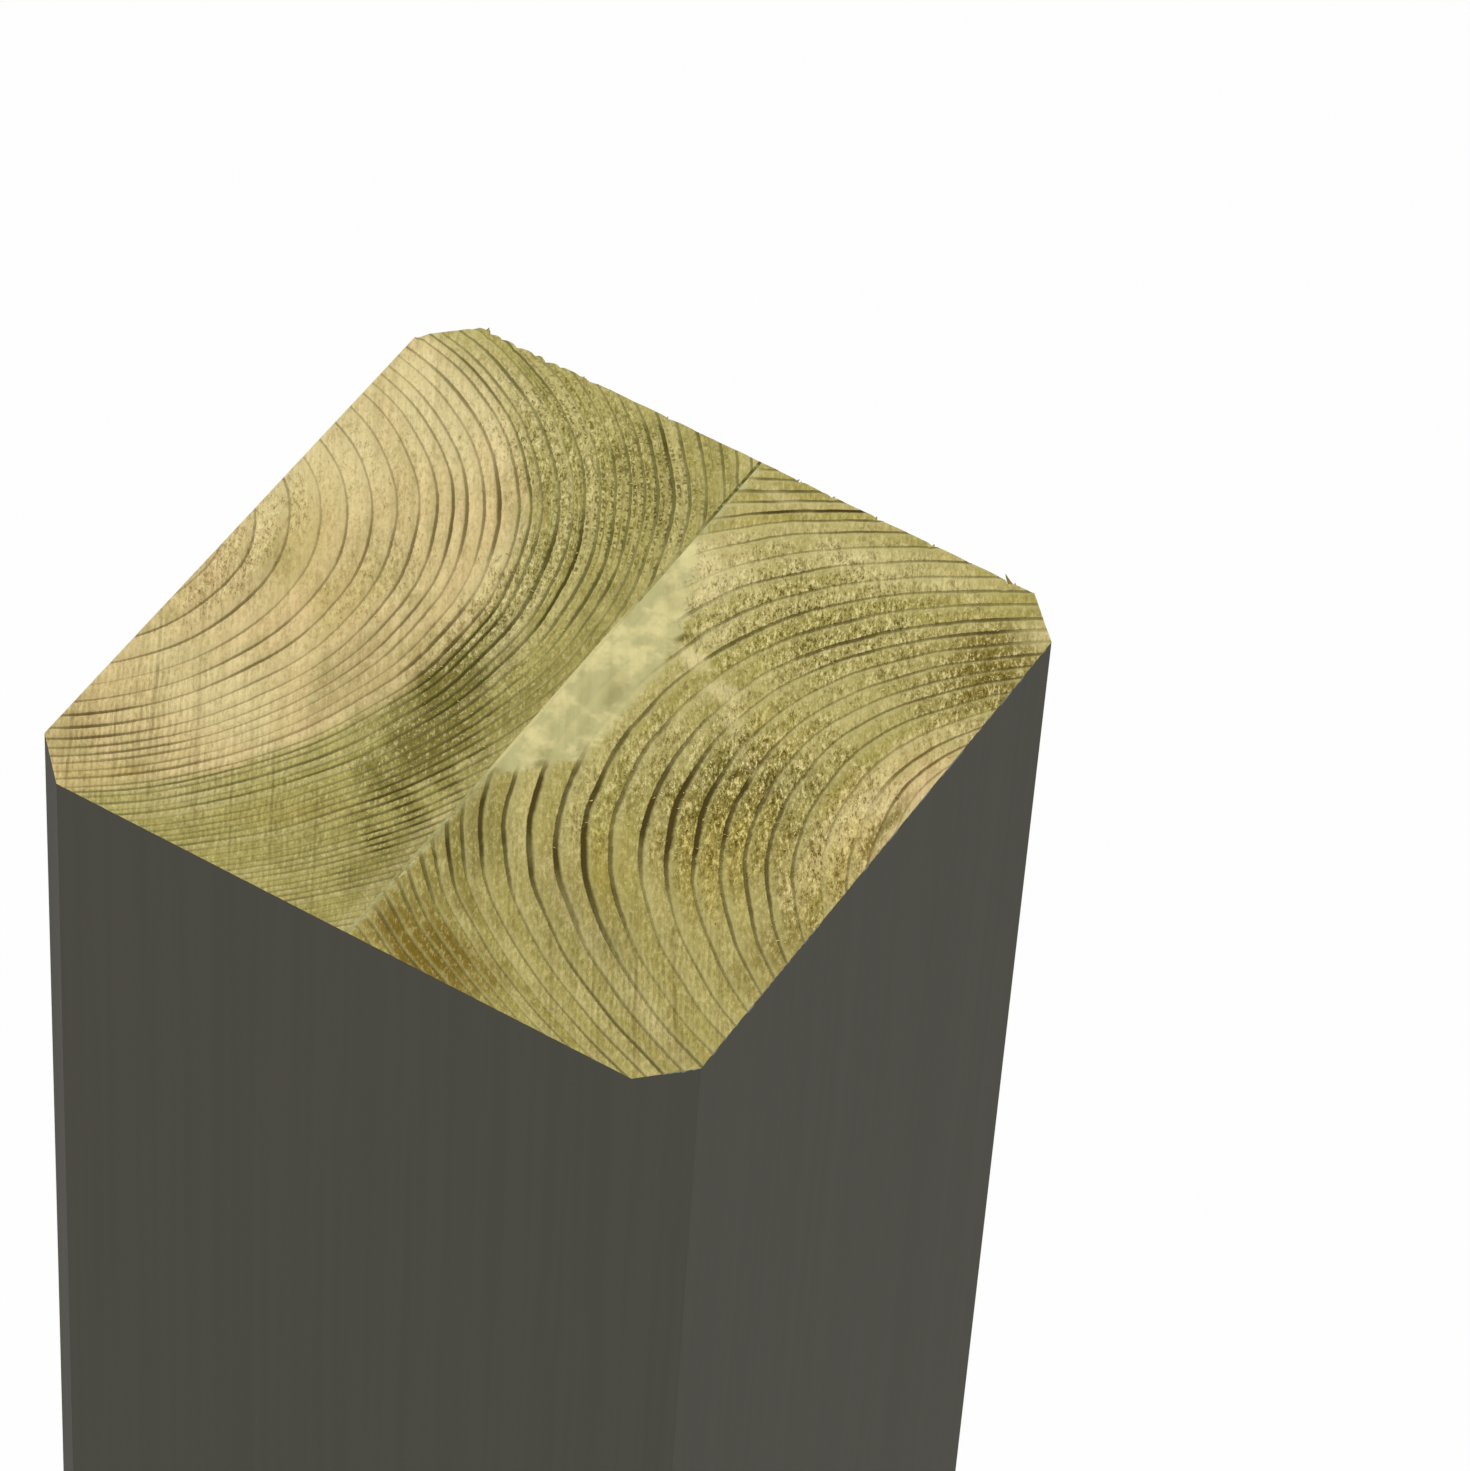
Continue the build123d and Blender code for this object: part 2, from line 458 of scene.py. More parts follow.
def grow(board, level_at, lines, zones):
    """Puts the growth, the ring width and the zones on the points of a board."""
    mesh, at = board.data, points_of(board.data)
    up = at[:, 2] / post_length
    x = at[:, 0] / MM + LEAN[0] * (1 - up)
    y = at[:, 1] / MM + LEAN[1] * (1 - up)
    outward = 1.0 if lines[-1][0] > lines[0][0] else -1.0
    stops = outward * np.array([level for level, _ in lines])
    level = outward * level_at(x, y)
    growth = np.interp(level, stops, np.arange(len(stops)))
    step = 0.05
    slope = np.hypot(level_at(x + step, y) - level_at(x - step, y),
                     level_at(x, y + step) - level_at(x, y - step)) / (2 * step)
    nearest = np.clip(np.searchsorted(stops, level) - 1, 0, len(stops) - 2)
    put(mesh, "growth", growth)
    put(mesh, "ring_mm", (stops[nearest + 1] - stops[nearest]) / np.maximum(slope, 0.3))
    put(mesh, "bold", np.interp(level, stops, [bold for _, bold in lines]))
    for name, places in zones.items():
        put(mesh, name, spots(x, y, places))
    if board == left_board:
        heart, clear = 1 - smooth(level + 0.5 * ripple(x, y, 9, 9), *LEFT_HEART_END), np.zeros_like(x)
    else:
        reach = np.interp(y, PATCH_Y, PATCH_X) + 0.25 * ripple(x, y, 3.0, 2)
        heart, clear = spots(x, y, RIGHT_HEART), smooth(reach - x, -2.2, 1.4)
    put(mesh, "heart", heart)
    put(mesh, "clear", clear)
    put(mesh, "end", np.where(at[:, 2] > post_length - 1e-6, 1.0, np.where(at[:, 2] < 1e-6, -1.0, 0.0)))
    print(board.name, "carries rings", int(growth.min()), "to", int(growth.max()) + 1)


grow(left_board, left_level, left_lines, LEFT_ZONES)
grow(right_board, right_level, right_lines, RIGHT_ZONES)
grow(glue, right_level, right_lines, RIGHT_ZONES)

# %% [markdown]
# A saw doesn't leave an end flat. It tears fibres out, ploughs slow waves across, and breaks small chips
# off the far edge, which has nothing behind it. The chips belong to the back edge here, most of them near
# the left corner. How deep each point goes is worked out by a second tree, from the stored masks and from
# noise with a fixed seed. Everything moves inwards, so the post keeps its size.

# %% Chips along the back edge
CHIP_SPAN = (-40.0, -21.0)      # mm along the back edge, where the scallops are
CHIP_PITCH = 2.1
CHIP_DEPTH = 0.6
CHIP_SOFTNESS = 1.3             # mm that a chip's pull reaches into the end
CHIP_HEIGHT = 2.2               # mm that a chip runs down the painted face
NICKS = ((6.5, .3), (11.2, .25), (17.6, .3), (25.3, .25), (36.0, .45), (-44.6, .5), (-12.0, .2))


def chip_depth(x):
    scallop = np.abs(np.sin((x + 0.35 * ripple(x, x, 5.0)) * math.pi / CHIP_PITCH)) ** 0.7
    first, last = CHIP_SPAN
    inside = smooth(x, first - 1, first + 1) * (1 - smooth(x, last - 2, last + 1))
    depth = CHIP_DEPTH * (1 - scallop) * inside * (0.75 + 0.35 * ripple(x, 0 * x, 6.0, 4))
    for at_x, nick in NICKS:
        depth = depth + nick * np.exp(-((x - at_x) / 0.4) ** 2)
    return np.maximum(depth, 0.0) + 0.05 * (1 + ripple(x, 0 * x, 1.9, 8))


for piece in (left_board, right_board, glue):
    at = points_of(piece.data) / MM
    beyond_flat = np.maximum(0.0, np.abs(at[:, 0]) - (half_side - arris_leg) / MM)
    from_edge = half_side / MM - beyond_flat - at[:, 1]
    under_top = post_length / MM - at[:, 2]
    down_face = 1 - smooth(under_top, 0.0, CHIP_HEIGHT)
    put(piece.data, "chip", chip_depth(at[:, 0]) * np.exp(-from_edge / CHIP_SOFTNESS) * down_face)
print("deepest chip", round(float(chip_depth(np.linspace(-45, 45, 2000)).max()), 2), "mm")

# %% The tree that saws the ends
saw_tree, wire, given, end = new_tree(
    "sawn ends", "GeometryNodeTree",
    [("Geometry", SHAPE, None), ("Line Depth", FLOAT, 0.05 * MM), ("Torn Depth", FLOAT, 0.16 * MM),
     ("Wave Depth", FLOAT, 0.05 * MM), ("Wave Pitch", FLOAT, 2.4 * MM), ("Wave Turn", FLOAT, -0.5),
     ("Seed", FLOAT, 3.0), ("Material", "NodeSocketMaterial", None)],
    [("Geometry", SHAPE)])


def stored(wire, name):
    return wire.node("GeometryNodeInputNamedAttribute", {"Name": name}, data_type="FLOAT").outputs[0]


place = wire.node("GeometryNodeInputPosition").outputs[0]
seeded = wire.vector("ADD", place, wire.xyz(given["Seed"], 0.0, 0.0))
part = wire.math("FRACT", stored(wire, "growth"))
to_line = wire.times(wire.rest(part), stored(wire, "ring_mm"))
line = wire.times(wire.ramp(to_line, 0.0, 0.5, 1.0, 0.0), given["Line Depth"])
fuzz = wire.times(wire.noise(seeded, 1 / (0.75 * MM), 3.0, 0.7),
                 wire.math("ADD", stored(wire, "torn"), 0.25))
fuzz = wire.times(fuzz, given["Torn Depth"])
turned = wire.turned(seeded, given["Wave Turn"])
pitch = wire.math("DIVIDE", 1.0, given["Wave Pitch"])
stretched = wire.vector("MULTIPLY", turned, wire.xyz(pitch, wire.times(pitch, 0.06), 0.0))
wave = wire.times(wire.noise(stretched, 1.0, 1.0), given["Wave Depth"])
calm = wire.rest(wire.times(stored(wire, "clear"), 0.8))
depth = wire.times(wire.math("ADD", wire.math("ADD", line, fuzz), wave), calm)
depth = wire.times(depth, wire.times(stored(wire, "end"), -1.0))
chip = wire.times(stored(wire, "chip"), -MM)
inward = wire.xyz(0.0, chip, depth)
sawn = wire.node("GeometryNodeSetPosition", {"Geometry": given["Geometry"], "Offset": inward})
finish_tree(wire, end, sawn.outputs[0], given["Material"])
print("saw tree ready, with", len(saw_tree.nodes), "nodes")

# %% [markdown]
# Four effects are shared by the materials, and each is a node group: the growth rings, the torn fibres,
# the marks of the saw's teeth, and brushed paint. They all work in millimetres on Object coordinates, so
# their sizes can be compared with a ruler held on the real post. They give out colours and masks only.

# %% The growth rings as a shader group
COLOUR, VECTOR = "NodeSocketColor", "NodeSocketVector"
rings_group, wire, given, end = new_tree(
    "growth rings", "ShaderNodeTree",
    [("Vector", VECTOR, None), ("Growth", FLOAT, 0.0), ("Ring Width", FLOAT, 3.0), ("Bold", FLOAT, 0.6),
     ("Ink", FLOAT, 0.5), ("Pits", FLOAT, 0.0), ("Ragged", FLOAT, 0.0), ("Fade", FLOAT, 0.0)],
    [("Line", FLOAT), ("Late", FLOAT), ("Smooth", FLOAT), ("Pit", FLOAT), ("Ring", FLOAT)])
# Where a point lies in its ring. Torn fibres make the edge of a ring jagged.
jag = wire.math("SUBTRACT", wire.noise(given["Vector"], 2.2, 3.0, 0.7), 0.5)
jag = wire.times(jag, wire.linear(given["Ragged"], 0.22, 0.16))
growth = wire.math("ADD", given["Growth"], wire.math("DIVIDE", jag, given["Ring Width"]))
part = wire.math("FRACT", growth)
before = wire.times(wire.rest(part), given["Ring Width"])
after = wire.times(part, given["Ring Width"])
# The dark line. Its thickness and its strength vary from ring to ring, and a little over the end.
patchy = wire.ramp(wire.noise(given["Vector"], 0.09, 1.0, 0.5), 0.3, 0.7)
nearest = wire.math("FLOOR", wire.math("ADD", growth, 0.5))
luck = wire.luck(nearest)
thick = wire.times(given["Bold"], wire.linear(luck, 0.7, 0.62))
thick = wire.times(thick, wire.linear(given["Ink"], 0.78, 0.3))
width = wire.linear(thick, 0.7, 0.11)
width = wire.times(width, wire.linear(patchy, 0.4, 0.8))
width = wire.math("MINIMUM", width, wire.linear(given["Ring Width"], 0.26, 0.04))
inner = wire.ramp(wire.math("DIVIDE", before, width), 0.5, 1.15, 1.0, 0.0)
outer = wire.ramp(after, 0.02, 0.16, 1.0, 0.0)
strength = wire.math("ADD", wire.linear(given["Ink"], 0.52, 0.4), wire.linear(luck, 0.3, -0.1))
strength = wire.times(strength, wire.linear(patchy, 0.5, 0.75), clamp=True)
shown = wire.times(strength, wire.rest(given["Fade"], clamp=True))
wire.feed(end, "Line", wire.times(wire.math("MAXIMUM", inner, outer), shown))
wire.feed(end, "Late", wire.times(wire.ramp(part, 0.35, 1.0), shown))
wire.feed(end, "Smooth", wire.ramp(part, 0.5, 0.85))
# Rows of dark pores and one hair line between two dark lines, where the pits mask asks for them.
row = wire.from_mid_step(wire.times(growth, 2.0))
hole = wire.ramp(wire.noise(given["Vector"], 2.3, 1.0, 0.5), 0.45, 0.49, 1.0, 0.0)
pit = wire.times(wire.ramp(row, 0.16, 0.36, 1.0, 0.0), hole)
hair = wire.math("ABSOLUTE", wire.math("SUBTRACT", part, wire.linear(luck, 0.3, 0.35)))
hair = wire.ramp(wire.times(hair, given["Ring Width"]), 0.05, 0.16, 0.75, 0.0)
hair = wire.times(hair, wire.ramp(patchy, 0.1, 0.6, 0.4, 1.0))
wire.feed(end, "Pit", wire.times(wire.math("MAXIMUM", pit, hair), given["Pits"]))
wire.feed(end, "Ring", wire.luck(wire.math("FLOOR", growth)))

# %% Torn fibres and saw marks as shader groups
torn_group, wire, given, end = new_tree(
    "torn fibres", "ShaderNodeTree",
    [("Vector", VECTOR, None), ("Turn", FLOAT, -0.5), ("Stretch", FLOAT, 0.4), ("Amount", FLOAT, 0.5)],
    [("Pale", FLOAT), ("Dark", FLOAT), ("Height", FLOAT)])
turned = wire.turned(given["Vector"], given["Turn"])
strokes = wire.vector("MULTIPLY", turned, wire.xyz(1.0, given["Stretch"], 1.0))
coarse = wire.noise(strokes, 2.2, 2.0, 0.75)
fine = wire.noise(wire.vector("ADD", strokes, (7.3, 2.9, 0.0)), 3.8, 2.0, 0.7)
rough = wire.linear(coarse, 0.6, wire.times(fine, 0.4))
# Pale and Dark become colour flecks, partly painted highlights and painted shade of the torn fibres
wire.feed(end, "Pale", wire.times(wire.ramp(rough, 0.51, 0.61), given["Amount"]))
wire.feed(end, "Dark", wire.times(wire.ramp(rough, 0.39, 0.49, 1.0, 0.0), given["Amount"]))
wire.feed(end, "Height", wire.times(rough, given["Amount"]))

marks_group, wire, given, end = new_tree(
    "saw marks", "ShaderNodeTree",
    [("Vector", VECTOR, None), ("Turn", FLOAT, -0.55), ("Pitch", FLOAT, 0.66), ("Amount", FLOAT, 0.5)],
    [("Comb", FLOAT), ("Score", FLOAT), ("Sweep", FLOAT), ("Streak", FLOAT)])
turned = wire.turned(given["Vector"], given["Turn"])
across = wire.split(turned)
wobble = wire.times(wire.noise(given["Vector"], 0.2, 2.0), 1.4)
teeth = wire.from_mid_step(wire.math("DIVIDE", wire.math("ADD", across[0], wobble), given["Pitch"]))
broken = wire.noise(turned, (1.1, 0.8, 0.0), 2.0, 0.6)
comb = wire.times(wire.ramp(teeth, 0.1, 0.28, 1.0, 0.0), wire.ramp(broken, 0.36, 0.5))
wire.feed(end, "Comb", wire.times(comb, given["Amount"]))
bend = wire.times(wire.noise(turned, (0.2, 0.02, 0.0), 1.0), 3.0)
score = wire.from_mid_step(wire.math("DIVIDE", wire.math("ADD", across[0], bend), 4.7))
score = wire.ramp(score, 0.02, 0.05, 1.0, 0.0)
wire.feed(end, "Score", wire.times(score, given["Amount"]))
sweep = wire.noise(turned, (0.42, 0.012, 0.0), 3.0, 0.6)
wire.feed(end, "Sweep", wire.ramp(sweep, 0.4, 0.66))
streak = wire.noise(turned, (1.7, 0.11, 0.0), 2.0, 0.65)
wire.feed(end, "Streak", wire.ramp(streak, 0.4, 0.6))

# %% Brushed paint as a shader group
PAINT, WORN_PAINT, PATCHY_PAINT = srgb(84, 83, 74), srgb(87, 85, 77), srgb(86, 83, 72)
paint_group, wire, given, end = new_tree(
    "brushed paint", "ShaderNodeTree",
    [("Vector", VECTOR, None), ("Colour", COLOUR, PAINT), ("Worn Colour", COLOUR, WORN_PAINT)],
    [("Colour", COLOUR), ("Roughness", FLOAT), ("Height", FLOAT)])
stroke = wire.noise(given["Vector"], (0.75, 0.75, 0.012), 3.0, 0.6)
grain = wire.noise(given["Vector"], (0.16, 0.16, 0.0025), 4.0, 0.65)
broad = wire.noise(given["Vector"], (0.02, 0.02, 0.004), 2.0, 0.5)
share = wire.linear(stroke, 0.5, wire.times(grain, 0.5))
tone = wire.blend(wire.ramp(share, 0.36, 0.64), given["Colour"], given["Worn Colour"])
tone = wire.blend(wire.ramp(broad, 0.45, 0.75, 0.0, 0.3), tone, PATCHY_PAINT)
wire.feed(end, "Colour", tone)
wire.feed(end, "Roughness", wire.linear(grain, 0.2, 0.56))
wire.feed(end, "Height", wire.linear(stroke, 0.04, wire.times(grain, 0.08)))
print("shader groups:", [group.name for group in (rings_group, torn_group, marks_group, paint_group)])

# %% [markdown]
# A board has one material: bare wood where a face was marked bare, and paint elsewhere. The paint was
# brushed on before the end was sawn, so its edge at the end is sharp. Along it runs a pale grey-blue hair,
# partly raw wood where the teeth broke the film and partly a painted highlight on the edge, strongest on the
# outer right face. Both boards share the recipe, and differ in their sapwood and in their dark lines.


# %% What every material here starts and ends with
def place_group(wire, group, inputs):
    made = wire.node("ShaderNodeGroup", node_tree=group)
    for key, value in inputs.items():
        wire.feed(made, key, value)
    return made.outputs


def attribute(wire, name):
    return wire.node("ShaderNodeAttribute", attribute_name=name).outputs["Fac"]


def new_material(name):
    material = bpy.data.materials.new(name)
    material.use_nodes = True
    material.node_tree.nodes.clear()
    wire = Wiring(material.node_tree)
    shader = wire.node("ShaderNodeBsdfPrincipled")
    wire.node("ShaderNodeOutputMaterial", {"Surface": shader.outputs[0]})
    place = wire.node("ShaderNodeTexCoord").outputs["Object"]
    in_mm = wire.node("ShaderNodeVectorMath", {0: place, "Scale": 1 / MM}, operation="SCALE").outputs[0]
    return material, wire, shader, in_mm


def finish_surface(wire, shader, bare, paint, bare_relief):
    """Ends a material: paint or bare relief drives the bump, and both surfaces are nearly without gloss."""
    relief = wire.between(bare, paint["Height"], bare_relief)
    bump = wire.node("ShaderNodeBump", {"Height": relief, "Distance": MM})
    wire.feed(shader, "Normal", bump.outputs[0])
    shader.inputs["Specular IOR Level"].default_value = GLOSS


GLOSS = 0.05                    # specular level, for dry wood and for flat paint
HEARTWOOD, ROSE, CREAM = srgb(212, 190, 134), srgb(220, 191, 140), srgb(220, 204, 150)
SHADE, BROWN, GOLDEN = srgb(100, 90, 26), srgb(122, 101, 33), srgb(172, 152, 74)
MOSS, CLEARWOOD, SMUDGE = srgb(156, 148, 88), srgb(213, 202, 145), srgb(182, 176, 124)
# fleck colours: the pale and golden ones are partly painted highlights on torn fibres, the dark and heart
# ones partly their painted shade
PALE_FLECK_HIGHLIGHT, GOLDEN_FLECK_HIGHLIGHT = srgb(240, 228, 166), srgb(226, 202, 96)
DARK_FLECK_SHADE, HEART_FLECK_SHADE = srgb(84, 73, 18), srgb(124, 98, 42)
# a painted sheen on the smooth part of each ring, and a pale grey-blue hair for the top edge, partly raw
# wood and partly a painted edge highlight
SMOOTH_GRAIN_SHEEN, RAW_EDGE_HIGHLIGHT = srgb(196, 188, 128), srgb(150, 154, 142)
print("materials can be started, with a gloss of", GLOSS)

# %% [markdown]
# On the bare end, the shared effects are placed first, each fed with the masks that this board carries. The
# clear patch gets a ragged outline from noise, so that it looks smeared over the rings and not cut out.


# %% The effects on the end grain
def end_effects(wire, flat, veil):
    """The clear patch's mask, and the outputs of the ring, fibre and saw groups."""
    stored_clear, frayed = attribute(wire, "clear"), attribute(wire, "torn")
    ragged = wire.math("SUBTRACT", wire.noise(flat, 1.1, 3.0, 0.7), 0.5)
    clear = wire.ramp(wire.linear(ragged, 1.5, stored_clear), 0.3, 0.7)
    clear = wire.times(clear, wire.ramp(stored_clear, 0.0, 0.1))
    fade = wire.math("MAXIMUM", stored_clear, wire.times(attribute(wire, "pale"), veil))
    rings = place_group(wire, rings_group, {
        "Vector": flat, "Growth": attribute(wire, "growth"), "Ring Width": attribute(wire, "ring_mm"),
        "Bold": attribute(wire, "bold"), "Ink": attribute(wire, "ink"), "Pits": attribute(wire, "pits"),
        "Ragged": frayed, "Fade": fade})
    amount = wire.linear(frayed, 0.72, 0.28)
    for mask, slope, start in ((rings["Smooth"], -0.6, 1.15), (clear, -0.85, 1.0),
                               (attribute(wire, "pits"), -0.4, 1.0)):
        amount = wire.times(amount, wire.linear(mask, slope, start))
    torn = place_group(wire, torn_group, {"Vector": flat, "Amount": amount})
    marks = place_group(wire, marks_group, {"Vector": flat, "Amount": attribute(wire, "marks")})
    return clear, rings, torn, marks


# %% [markdown]
# The colours are then laid over one another, as glazes are: wide zones first, one tone for each ring next,
# then a painted sheen on the smooth part of each ring, and the torn flecks and dark lines last. The pale and
# dark flecks are partly the torn fibres' own tone and partly painted highlights and painted shade of their
# relief. Each layer is a share and a colour, so the list is the recipe.


# %% The colour of the end grain
def end_colour(wire, flat, effects, sapwood, line_colour, heart_line):
    clear, rings, torn, marks = effects
    heart, golden = attribute(wire, "heart"), attribute(wire, "golden")
    cloud = wire.noise(flat, 0.13, 3.0, 0.6)
    haze = wire.noise(wire.vector("ADD", flat, (40.0, 9.0, 0.0)), 0.2, 3.0, 0.6)
    streak = wire.times(marks["Streak"], wire.linear(attribute(wire, "torn"), -0.12, 0.14))
    layers = [
        (heart, HEARTWOOD),
        (wire.times(heart, wire.ramp(cloud, 0.42, 0.6, 0.0, 0.5)), ROSE),
        (wire.ramp(haze, 0.5, 0.68, 0.0, 0.3), MOSS),
        (wire.times(wire.ramp(rings["Ring"], 0.1, 0.9), 0.24), CREAM),
        (attribute(wire, "pale"), CREAM),
        (clear, wire.blend(wire.ramp(haze, 0.4, 0.56), CLEARWOOD, SMUDGE)),
        (attribute(wire, "shade"), SHADE),
        (attribute(wire, "brown"), BROWN),
        (golden, GOLDEN),
        (wire.times(rings["Late"], 0.22), line_colour),
        (wire.times(marks["Sweep"], 0.16), SHADE),
        (wire.times(streak, wire.linear(clear, -0.95, 1.0)), SHADE),
        # a painted sheen on the smooth late part of each ring
        (wire.times(rings["Smooth"], wire.linear(heart, -0.25, 0.3)), SMOOTH_GRAIN_SHEEN),
        (wire.times(marks["Comb"], 0.36), SHADE),
        # torn flecks: partly the fibres' own tone, partly painted shade (dark) and painted highlights (pale)
        (wire.times(torn["Dark"], 0.8), wire.blend(heart, DARK_FLECK_SHADE, HEART_FLECK_SHADE)),
        (wire.times(torn["Pale"], 0.66), wire.blend(golden, PALE_FLECK_HIGHLIGHT, GOLDEN_FLECK_HIGHLIGHT)),
        (rings["Line"], wire.blend(heart, line_colour, heart_line)),
        (wire.times(rings["Pit"], 0.85), line_colour),
        (wire.times(marks["Score"], 0.42), heart_line)]
    colour = sapwood
    for share, layer in layers:
        colour = wire.blend(share, colour, layer)
    return colour


# %% The painted faces, and the whole board
RAW_EDGE_FROM, RAW_EDGE_FULL = 40.0, 44.5   # x in mm: the pale hair, raw wood and painted edge highlight, shows fully on the outer right face


def painted_colour(wire, place, paint):
    """The paint, with a pale hair at both ends: raw wood where the teeth broke it, and a painted highlight
    on the edge.
    """
    along = wire.split(place)
    from_end = wire.math("MINIMUM", along[2], wire.math("SUBTRACT", post_length / MM, along[2]))
    broken = wire.ramp(wire.noise(place, 0.45, 3.0, 0.7), 0.38, 0.62, 0.0, 0.5)
    broken = wire.times(broken, wire.ramp(along[0], RAW_EDGE_FROM, RAW_EDGE_FULL, 0.1, 1.0))
    # the pale hair is partly raw wood and partly a painted highlight along the edge
    raw = wire.ramp(wire.math("SUBTRACT", from_end, broken), -0.06, 0.02, 0.75, 0.0)
    return wire.blend(raw, paint["Colour"], RAW_EDGE_HIGHLIGHT)


def board_material(name, sapwood, line_colour, heart_line, veil):
    material, wire, shader, place = new_material(name)
    flat = wire.vector("MULTIPLY", place, (1.0, 1.0, 0.02))
    effects = end_effects(wire, flat, veil)
    wood = end_colour(wire, flat, effects, sapwood, line_colour, heart_line)
    bare, paint = attribute(wire, "bare"), place_group(wire, paint_group, {"Vector": place})
    wire.feed(shader, "Base Color", wire.blend(bare, painted_colour(wire, place, paint), wood))
    wire.feed(shader, "Roughness", wire.between(bare, paint["Roughness"], 0.78))
    _, rings, torn, marks = effects
    relief = wire.times(torn["Height"], 0.4)
    for groove in (rings["Line"], marks["Comb"]):
        relief = wire.math("SUBTRACT", relief, wire.times(groove, 0.08))
    finish_surface(wire, shader, bare, paint, relief)
    return material


left_wood = board_material("left board, painted and sawn", srgb(174, 163, 94), srgb(74, 68, 22),
                           srgb(92, 74, 34), 0.15)
right_wood = board_material("right board, painted and sawn", srgb(170, 158, 88), srgb(72, 60, 24),
                            srgb(98, 76, 34), 1.1)
print("materials of the boards:", left_wood.name, "and", right_wood.name)

# %% [markdown]
# The adhesive shows only at the ends. Dust and fibres smeared over it by the saw hide most of it: it is
# greenish between the sapwood of both boards, and as pale as the smooth patch beside it. At the back edge,
# where the joint is open a little, it is darkened as a painted shade of the opening. On the long faces the
# paint runs over it.

# %% The material of the glue
FRONT_GLUE = srgb(158, 152, 102)
# From the front to the back: between which y in mm the glue's tone changes, and what it changes to
GLUE_TONES_AND_GAP_SHADE = ((-18.0, -12.0, srgb(200, 190, 134)), (10.0, 18.0, srgb(156, 149, 94)),
              # the last, dark tone is a painted shade where the joint is open a little at the back edge
              (30.0, 35.0, srgb(88, 81, 36)))
DARK_DUST, PALE_DUST = srgb(118, 110, 58), srgb(176, 172, 124)
glue_finish, wire, shader, place = new_material("cured adhesive")
smear = wire.noise(wire.vector("MULTIPLY", place, (1.0, 0.9, 0.05)), 1.1, 3.0, 0.65)
along = wire.split(place)[1]
tone = FRONT_GLUE
for start, stop, colour in GLUE_TONES_AND_GAP_SHADE:
    tone = wire.blend(wire.ramp(along, start, stop), tone, colour)
beside_patch = wire.ramp(wire.math("ABSOLUTE", along), 12.0, 18.0, 0.2, 1.0)
dusty = wire.blend(wire.ramp(wire.noise(place, 0.5, 2.0), 0.42, 0.6), DARK_DUST, PALE_DUST)
tone = wire.blend(wire.times(wire.ramp(smear, 0.44, 0.6, 0.0, 0.75), beside_patch), tone, dusty)
paint = place_group(wire, paint_group, {"Vector": place})
bare = attribute(wire, "bare")
wire.feed(shader, "Base Color", wire.blend(bare, paint["Colour"], tone))
wire.feed(shader, "Roughness", wire.between(bare, paint["Roughness"], 0.7))
finish_surface(wire, shader, bare, paint, wire.times(smear, 0.1))
print("glue finish ready")

# %% [markdown]
# With the finishes there, the saw tree runs on each piece. Its result is a plain mesh, with its material.

# %% Saw the ends
sawn_pieces = []
for piece, finish, values in (
        (left_board, left_wood, {"Seed": 3.0, "Wave Turn": -0.55}),
        (right_board, right_wood, {"Seed": 8.0, "Wave Turn": -0.5}),
        (glue, glue_finish, {"Seed": 5.0, "Torn Depth": 0.08 * MM})):
    name, shape = piece.name, piece.data
    bpy.data.objects.remove(piece)
    made = run_tree(name, shape, saw_tree, {"Material": finish, **values})
    sawn_pieces.append(made)
    print(name, "still reaches up to", round(points_of(made.data)[:, 2].max() / MM, 3), "mm")
left_board, right_board, glue = sawn_pieces

# %% [markdown]
# Where the saw tore the grain, short ends of fibre stand up and catch the light. They are scattered over
# the bare ends by a third tree: more of them where the torn mask is strong, each a thin curved sliver with
# a few faces, laid nearly flat and pointing roughly the way the teeth went.

# %% The tree that scatters torn fibres
fibre_tree, wire, given, end = new_tree(
    "torn fibre scatter", "GeometryNodeTree",
    [("Geometry", SHAPE, None), ("Per Square Metre", FLOAT, 2.4e6), ("Fibre Length", FLOAT, 0.55 * MM),
     ("Fibre Radius", FLOAT, 0.06 * MM), ("Bend", FLOAT, 0.5), ("Heading", FLOAT, 0.5),
     ("Spread", FLOAT, 0.8), ("Seed", WHOLE, 11), ("Material", "NodeSocketMaterial", None)],
    [("Geometry", SHAPE)])
bare = wire.math("GREATER_THAN", stored(wire, "bare"), 0.5)
ends = wire.node("GeometryNodeSeparateGeometry", {"Geometry": given["Geometry"], "Selection": bare},
                 domain="FACE")
part = wire.math("FRACT", stored(wire, "growth"))
off_line = wire.math("MINIMUM", part, wire.rest(part))
off_line = wire.times(off_line, stored(wire, "ring_mm"))
wanted = wire.times(stored(wire, "torn"), wire.rest(stored(wire, "clear")))
wanted = wire.times(wanted, wire.ramp(off_line, 0.15, 0.6, 0.1, 1.0))
scattered = wire.node("GeometryNodeDistributePointsOnFaces",
                      {"Mesh": ends.outputs[0], "Seed": given["Seed"]}, distribute_method="RANDOM")
wire.feed(scattered, "Density", wire.times(wanted, given["Per Square Metre"]))
cone = wire.node("GeometryNodeMeshCone",
                 {"Vertices": 3, "Side Segments": 2, "Radius Top": 0.004 * MM,
                  "Radius Bottom": given["Fibre Radius"], "Depth": given["Fibre Length"]}, fill_type="NONE")
up = wire.split(wire.node("GeometryNodeInputPosition").outputs[0])[2]
curl = wire.times(wire.times(up, up), wire.math("DIVIDE", given["Bend"], given["Fibre Length"]))
curled = wire.xyz(0.0, curl, 0.0)
sliver = wire.node("GeometryNodeSetPosition", {"Geometry": cone.outputs["Mesh"], "Offset": curled})


